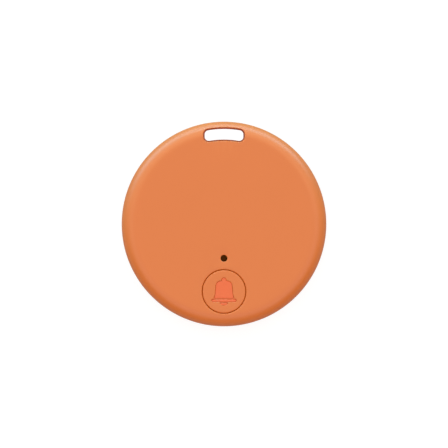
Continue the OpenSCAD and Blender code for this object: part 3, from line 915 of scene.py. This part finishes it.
# %% Turned rings, where the radius is the root of x * x + y * y
spun, come, go = effect("turned_rings", pattern_sockets, [("Height", "Float")])
axes = add_node(spun, "SeparateXYZ", {0: come.outputs["Vector"]})
square_x = math_node(spun, "MULTIPLY", axes.outputs["X"], axes.outputs["X"])
square_y = math_node(spun, "MULTIPLY", axes.outputs["Y"], axes.outputs["Y"])
radius = math_node(spun, "SQRT", math_node(spun, "ADD", square_x, square_y), 0.0)
by_radius = add_node(spun, "CombineXYZ", {"X": radius, "Z": axes.outputs["Z"]})
wire(spun, go, {"Height": noise_node(spun, by_radius.outputs[0], come.outputs["Fineness"])})
patterns = {"grain": grain, "drawn": drawn, "turned": spun}
print("patterns:", list(patterns))

# %% [markdown]
# ### Drift of tone and gloss
#
# No moulding or sheet is exactly even. A slow noise makes soft patches, and each patch is a little
# lighter or darker and a little glossier or duller than its neighbours.

# %% Drift of tone and gloss
drift, come, go = effect(
    "tone_and_gloss_drift",
    [("Vector", "Vector"), ("Colour", "Color"), ("Roughness", "Float"), ("Patches", "Float"),
     ("Tone", "Float"), ("Gloss", "Float")],
    [("Colour", "Color"), ("Roughness", "Float")],
)
patch = noise_node(drift, come.outputs["Vector"], come.outputs["Patches"], 2.0)
swing = math_node(drift, "MULTIPLY", math_node(drift, "SUBTRACT", patch, 0.5), 2.0)
tone = math_node(drift, "ADD", math_node(drift, "MULTIPLY", swing, come.outputs["Tone"]), 1.0)
shade = add_node(drift, "VectorMath", {0: come.outputs["Colour"], "Scale": tone}, operation="SCALE")
gloss = math_node(drift, "MULTIPLY", swing, come.outputs["Gloss"])
dullness = math_node(drift, "ADD", come.outputs["Roughness"], gloss)
wire(drift, go, {"Colour": shade.outputs[0], "Roughness": dullness})
print("shared effects:", [group.name for group in bpy.data.node_groups])


# %% [markdown]
# ### How a finish is put together
#
# A finish starts as a plain Principled material, whose own sockets hold what is the same all over.
# The pattern then goes through a Bump node to Normal, and the drift goes to Base Color and
# Roughness. Everything reads Object coordinates, so a pattern stays on its part when it moves.


# %% One finish
def shader(name, colour, roughness, metallic=0.0, **sockets):
    """A plain Principled material with values on the shader's own sockets."""
    material = bpy.data.materials.new(name)
    material.use_nodes = True
    tree = material.node_tree
    values = {"Base Color": (*colour, 1), "Roughness": roughness, "Metallic": metallic}
    values.update({label.replace("_", " "): value for label, value in sockets.items()})
    wire(tree, tree.nodes["Principled BSDF"], values)
    return material


def finish(name, colour, roughness, metallic, pattern, fineness, depth, tone, gloss, **sockets):
    """A finish of one colour, a pattern with a fineness per metre and a depth in millimetres,
    and a drift of its tone and gloss in patches of about 8 mm."""
    material = shader(name, colour, roughness, metallic, **sockets)
    tree = material.node_tree
    vector = add_node(tree, "TexCoord").outputs["Object"]
    relief = add_node(tree, "Group", {"Vector": vector, "Fineness": fineness}, node_tree=patterns[pattern])
    bump = add_node(tree, "Bump", {"Distance": depth * MM, "Height": relief.outputs["Height"]})
    worn = add_node(tree, "Group", {
        "Vector": vector, "Colour": (*colour, 1), "Roughness": roughness, "Patches": 130.0,
        "Tone": tone, "Gloss": gloss,
    }, node_tree=drift)
    wire(tree, tree.nodes["Principled BSDF"], {
        "Normal": bump.outputs["Normal"], "Base Color": worn.outputs["Colour"],
        "Roughness": worn.outputs["Roughness"],
    })
    return material


def finish_all(rows, metallic, **sockets):
    """Finishes from rows of slot, colour, roughness, pattern, fineness, depth, tone and gloss."""
    for slot_name, colour, roughness, *rest in rows:
        finishes[slot_name] = finish(f"{slot_name}_finish", colour, roughness, metallic, *rest, **sockets)
    print(len(finishes), "finishes so far")


# %% [markdown]
# ### The plastics
#
# The case is dyed polycarbonate from a lightly blasted mould. The grain is a tenth of a
# millimetre across and a few thousandths deep, so it isn't seen but softens the highlights. The
# door is the same dye in a coarser mould. The bell is a brighter, glossier shot of plastic.

# %% Plastics
finishes = {}
finish_all([
    ("case_plastic", (0.694, 0.1525, 0.0105), 0.48, "grain", 9000, 0.0016, 0.010, 0.03),
], 0, Specular_IOR_Level=0.9)
finish_all([
    ("door_plastic", (0.60, 0.136, 0.012), 0.54, "grain", 6000, 0.004, 0.012, 0.03),
    ("symbol_plastic", (0.80, 0.125, 0.020), 0.40, "grain", 9000, 0.0012, 0.010, 0.03),
], 0, Specular_IOR_Level=0.8)
finish_all([
    ("black_plastic", (0.016, 0.017, 0.019), 0.5, "grain", 7000, 0.003, 0.06, 0.05),
    ("gasket_plastic", (0.025, 0.025, 0.028), 0.42, "turned", 9000, 0.002, 0.05, 0.05),
    ("chip_package", (0.012, 0.012, 0.013), 0.62, "grain", 16000, 0.004, 0.08, 0.04),
    ("adhesive_ring", (0.72, 0.67, 0.50), 0.35, "grain", 3000, 0.006, 0.04, 0.06),
    ("separator_sheet", (0.84, 0.84, 0.80), 0.8, "grain", 12000, 0.006, 0.03, 0.03),
], 0)

# %% [markdown]
# ### The metals
#
# Rolled sheet shows fine lines in one direction, and a turned or spun part shows rings. The
# screws and clips are plated, so they are smoother than the bare brass of the buzzer, which is
# given a dark brown colour, darker than clean brass.

# %% Metals
finish_all([
    ("stainless_steel", (0.58, 0.57, 0.55), 0.30, "drawn", 9000, 0.0015, 0.04, 0.06),
    ("spring_steel", (0.62, 0.62, 0.63), 0.26, "drawn", 12000, 0.001, 0.04, 0.05),
    ("screw_steel", (0.55, 0.56, 0.58), 0.24, "grain", 9000, 0.001, 0.05, 0.06),
    ("cell_steel", (0.63, 0.63, 0.62), 0.28, "turned", 7000, 0.0015, 0.03, 0.05),
    ("crystal_can", (0.70, 0.68, 0.62), 0.25, "drawn", 8000, 0.001, 0.04, 0.05),
    ("tinned_metal", (0.68, 0.69, 0.70), 0.34, "grain", 7000, 0.003, 0.06, 0.08),
    ("lithium_metal", (0.60, 0.60, 0.62), 0.45, "grain", 2500, 0.004, 0.08, 0.08),
    ("buzzer_brass", (0.21, 0.090, 0.018), 0.60, "turned", 5000, 0.003, 0.20, 0.08),
], 1)

# %% [markdown]
# ### Ceramics and powders
#
# The buzzer's disc, the capacitors and the antenna are fired ceramic, each in its own pale or
# brown tone. A resistor has a black glaze. Ferrite and the cell's cathode are pressed powders, so
# they are dull and show the coarsest grain.

# %% Ceramics and powders
finish_all([
    ("piezo_ceramic", (0.66, 0.63, 0.54), 0.50, "grain", 9000, 0.002, 0.03, 0.05),
    ("capacitor_ceramic", (0.40, 0.26, 0.14), 0.45, "grain", 14000, 0.003, 0.08, 0.05),
    ("antenna_ceramic", (0.76, 0.75, 0.70), 0.38, "grain", 9000, 0.002, 0.03, 0.04),
    ("resistor_glaze", (0.013, 0.013, 0.015), 0.22, "grain", 9000, 0.001, 0.05, 0.03),
    ("ferrite", (0.045, 0.044, 0.046), 0.7, "grain", 11000, 0.008, 0.15, 0.06),
    ("cathode_powder", (0.02, 0.02, 0.02), 0.9, "grain", 8000, 0.02, 0.2, 0.04),
], 0)

# %% [markdown]
# ### The board
#
# A board is glass cloth in resin, with copper tracks under a green lacquer. The tracks show as
# slightly lighter raised lines. Two sets of straight bands, one along each side, are broken
# into lengths by noise, which gives tracks that run square to each other.

# %% Tracks
tracks, come, go = effect("hidden_tracks", pattern_sockets, [("Track", "Float")])
bands = []
for side, offset in (("X", 0.0), ("Y", 7.0)):
    sockets = {"Vector": come.outputs["Vector"], "Scale": come.outputs["Fineness"]}
    wave = add_node(tracks, "TexWave", sockets, bands_direction=side)
    moved = add_node(tracks, "VectorMath", {0: come.outputs["Vector"], 1: (offset, offset, 0)})
    broken = math_node(tracks, "GREATER_THAN", noise_node(tracks, moved.outputs[0], 260.0, 0.0), 0.5)
    line = math_node(tracks, "GREATER_THAN", wave.outputs["Fac"], 0.82)
    bands.append(math_node(tracks, "MULTIPLY", line, broken))
wire(tracks, go, {"Track": math_node(tracks, "MAXIMUM", *bands)})

# %% Lacquer over the tracks
lacquer, lacquer_on_copper = (0.012, 0.115, 0.042), (0.030, 0.185, 0.062)
board_finish = shader("board_laminate_finish", lacquer, 0.34)
tree = board_finish.node_tree
vector = add_node(tree, "TexCoord").outputs["Object"]
lines = add_node(tree, "Group", {"Vector": vector, "Fineness": 180.0}, node_tree=tracks).outputs["Track"]


def colour_mix(tree, amount, plain, other):
    """A Mix node for two colours, each an output or a value with its alpha. The sockets of its
    colour mode share their names with those of other modes, so they are found by number."""
    return add_node(tree, "Mix", {0: amount, 6: plain, 7: other}, data_type="RGBA").outputs[2]


tint = colour_mix(tree, lines, (*lacquer, 1), (*lacquer_on_copper, 1))
bump = add_node(tree, "Bump", {"Distance": 0.03 * MM, "Strength": 0.6, "Height": lines})
wire(tree, tree.nodes["Principled BSDF"], {"Base Color": tint, "Normal": bump.outputs["Normal"]})
finishes["board_laminate"] = board_finish
print("the board's finish is one of", len(finishes))

# %% [markdown]
# ## Dressing
#
# Each part of the frame arrives with a plain material named after its finish, so the finished one
# is looked up by that name and takes its place. The new pieces are named one by one.

# %% Dress every part
piece_finish = {
    "front_shell": "case_plastic", "rear_shell": "case_plastic", "cap_disc": "case_plastic",
    "bell_inlay": "symbol_plastic", "door_disc": "door_plastic", "solder_fillets": "tinned_metal",
    "tinned_ends": "tinned_metal", "board_lands": "tinned_metal", "snap_dome": "spring_steel",
}
for name, slot_name in piece_finish.items():
    pieces[name].data.materials.append(finishes[slot_name])
for name, node in nodes.items():
    slot_name = node.data.materials[0].name
    node.data.materials[0] = finishes[slot_name]
print("dressed", len(nodes), "parts of the frame and", len(pieces), "new pieces")

# %% [markdown]
# ## Studio
#
# The tag lies flat and is seen from straight above. A wide pale table, a light tent and a few
# long lamps give soft light all round: an even face, a bright far rim and a darker near rim.
#
# ### The table
#
# The table has two jobs. It lights the tag a little, and it has to look white. So it is
# a pale grey that glows, a painted light, and Light Path lets the camera see more of that
# glow than the tag gets. Under the tag it glows a full white, a painted pool of light, so that
# the slot shows bright, and just inside the edge of the case it eases to the level seen all
# round. Seen from below it is clear.

# %% Table top
half_wide, below = 3.0, -2e-5
table_corners = [(-half_wide, -half_wide), (half_wide, -half_wide), (half_wide, half_wide),
                 (-half_wide, half_wide)]
table_mesh = bpy.data.meshes.new("table")
table_mesh.from_pydata([(x, y, below) for x, y in table_corners], [], [(0, 1, 2, 3)])
table = bpy.data.objects.new("table", table_mesh)
bpy.context.scene.collection.objects.link(table)
pale = shader("pale_glowing_table", (0.25, 0.25, 0.25), 0.8, Specular_IOR_Level=0.1)
table_mesh.materials.append(pale)
print("the table is", 2 * half_wide, "m wide")


# %% Light that the table gives off
def eased(tree, source, span, values, kind="LINEAR"):
    """A Map Range node: its output goes from the first value to the second while its input goes
    over the span, in a straight line or along the S curve 3 t^2 - 2 t^3."""
    labels = ("Value", "From Min", "From Max", "To Min", "To Max")
    sockets = dict(zip(labels, (source, *span, *values)))
    return add_node(tree, "MapRange", sockets, interpolation_type=kind).outputs["Result"]


def seen_or_lit(tree, lit, seen):
    """One value for camera rays (seen) and another for all other rays (lit)."""
    rays = add_node(tree, "LightPath").outputs["Is Camera Ray"]
    return add_node(tree, "Mix", {"Factor": rays, "A": lit, "B": seen}).outputs["Result"]


tree = pale.node_tree
glow = tree.nodes["Principled BSDF"]
place = add_node(tree, "TexCoord").outputs["Object"]
from_middle = add_node(tree, "VectorMath", {0: place}, operation="LENGTH").outputs["Value"]
edge_span = ((slot_far + 0.1) * MM, (body_r - 0.3) * MM)
# Painted light: the table glows. Camera rays see it at full white under the tag, a painted pool of light
# that makes the slot show bright, easing to 0.82 round it; other rays get a weak glow of 0.24
strength = seen_or_lit(tree, 0.24, eased(tree, from_middle, edge_span, (1.0, 0.82)))
wire(tree, glow, {"Emission Color": (1, 1, 1, 1), "Emission Strength": strength})

# %% Let the table be seen through from below
facing_away = add_node(tree, "NewGeometry").outputs["Backfacing"]
clear_back = add_node(tree, "BsdfTransparent").outputs[0]
choose = add_node(tree, "MixShader", {"Fac": facing_away, 1: glow.outputs[0], 2: clear_back})
wire(tree, tree.nodes["Material Output"], {"Surface": choose.outputs[0]})
print("the table's material has", len(tree.nodes), "nodes")

# %% [markdown]
# ### The light tent
#
# The world is the tent's cloth. It is dark near the ground, bright half-way up and dimmer again
# at the top, where the camera looks in. That keeps the flat face from reflecting the brightest
# cloth, and lets the rounded rim fall off into shade. The low part is warm, as it is lit by light
# that has already met the tag. The camera sees plain white.

# %% Roof of the light tent
world = bpy.data.worlds.new("light_tent")
bpy.context.scene.world = world
world.use_nodes = True
tent = world.node_tree
direction = add_node(tent, "TexCoord").outputs["Generated"]
height_up = add_node(tent, "SeparateXYZ", {0: direction}).outputs["Z"]
sides_level = eased(tent, height_up, (0.34, 0.87), (0.02, 1.95), "SMOOTHSTEP")
top_level = eased(tent, height_up, (0.80, 1.00), (1.0, 0.30), "SMOOTHSTEP")
roof = math_node(tent, "MULTIPLY", sides_level, top_level)
wire(tent, tent.nodes["Background"], {"Strength": seen_or_lit(tent, roof, 1.0)})

# %% Warmth of its low part
warm, white = (1.0, 0.77, 0.58, 1.0), (1.0, 1.0, 1.0, 1.0)
up_from_warm = eased(tent, height_up, (0.45, 0.85), (0.0, 1.0), "SMOOTHSTEP")
cloth = colour_mix(tent, up_from_warm, warm, white)
camera_rays = add_node(tent, "LightPath").outputs["Is Camera Ray"]
wire(tent, tent.nodes["Background"], {"Color": colour_mix(tent, camera_rays, cloth, white)})
print("the tent has", len(tent.nodes), "nodes")

# %% [markdown]
# ### The lamps
#
# Three long lamps stand low behind the tag, and the far rim turns just enough to mirror them, so
# they draw its pale highlight. They are cool, which greys the highlight a little. A weak lamp at
# each side and a weak warm one in front keep the other edges from going flat.


# %% Lamps
def softbox(name, azimuth, elevation, width, height, radiance, colour):
    """A rectangular lamp that faces the tag. A lamp's power is pi * area * radiance."""
    lamp = bpy.data.lights.new(name, "AREA")
    lamp.color = colour
    lamp.shape = "RECTANGLE"
    lamp.size, lamp.size_y = width, height
    lamp.energy = np.pi * width * height * radiance
    box = bpy.data.objects.new(name, lamp)
    bpy.context.scene.collection.objects.link(box)
    turn, rise = np.radians(azimuth), np.radians(elevation)
    direction = Vector((np.cos(rise) * np.cos(turn), np.cos(rise) * np.sin(turn), np.sin(rise)))
    box.location = lamp_distance * direction
    box.rotation_euler = (-direction).to_track_quat("-Z", "Y").to_euler()
    box.visible_camera = False


lamp_distance = 0.9
cool, pinkish, amber = (0.50, 1.05, 1.25), (1.15, 0.92, 0.85), (1.0, 0.55, 0.30)
for part, azimuth in enumerate((56, 96, 136)):
    softbox(f"back_strip_{part + 1}", azimuth, 8, 0.65, 0.24, 7.5, cool)
softbox("left_strip", 180, 16, 0.62, 0.32, 0.9, pinkish)
softbox("right_strip", 0, 16, 0.62, 0.32, 0.9, pinkish)
softbox("front_strip", 270, 10, 0.62, 0.24, 0.8, amber)
print("lamps:", [lamp.name for lamp in bpy.data.lights])

# %% [markdown]
# ### The camera
#
# A long lens from far away looks straight down, so the slot's walls hardly show. The view is
# view_width wide at the height where the case is widest: the distance for that is view_width
# times the lens over the width of the sensor.

# %% Camera
view_width = 0.081
lens = 1200
camera_data = bpy.data.cameras.new("camera")
camera_data.lens = lens
camera_data.clip_end = 20
camera = bpy.data.objects.new("camera", camera_data)
bpy.context.scene.collection.objects.link(camera)
camera.location = (0, 0, (top_z - front_edge) * MM + view_width * lens / camera_data.sensor_width)
bpy.context.scene.camera = camera
bpy.context.scene.view_settings.view_transform = "Standard"
print("the camera is", camera.location.z, "m above the table")
